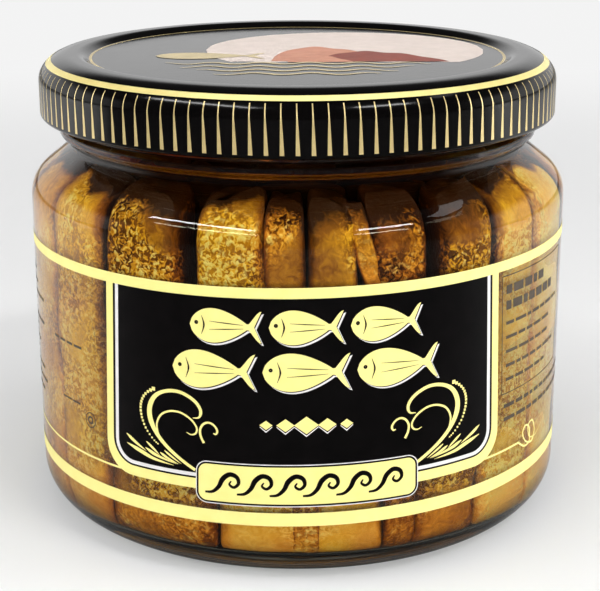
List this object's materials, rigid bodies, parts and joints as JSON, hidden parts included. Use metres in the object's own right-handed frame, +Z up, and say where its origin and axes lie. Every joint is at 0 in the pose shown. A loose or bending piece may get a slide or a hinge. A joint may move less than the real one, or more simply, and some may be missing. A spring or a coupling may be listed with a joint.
{
  "type": "jar of smoked sardines",
  "caption": "Squat round glass jar packed with small smoked fish standing in golden oil, shut with a black and gold twist-off lid and wrapped in a clear printed film label.",
  "frame": {"origin": "centre of the base, on the surface that the jar stands on", "axes": "+Z up along the jar's axis; -Y is the front of the label, +X its right-hand side"},
  "size_m": [0.0842, 0.0841, 0.0708],
  "materials": {
    "glass": "clear flint glass, polished",
    "lid_lacquer": "black gloss lacquer on tinplate with gold print",
    "sealing_compound": "satin",
    "oil": "clear golden oil",
    "label_film": "clear film, gloss",
    "fish": "golden smoked fish skin, oily",
    "black_print": "opaque black ink under film",
    "cream_print": "opaque cream-yellow ink under film",
    "lid_print": "gold and pale lacquer print"
  },
  "bodies": {
    "root": {"glass_jar": "glass", "lid": "lid_lacquer", "sealing_ring": "sealing_compound", "oil": "oil", "label": "label_film"}
  },
  "joints": []
}
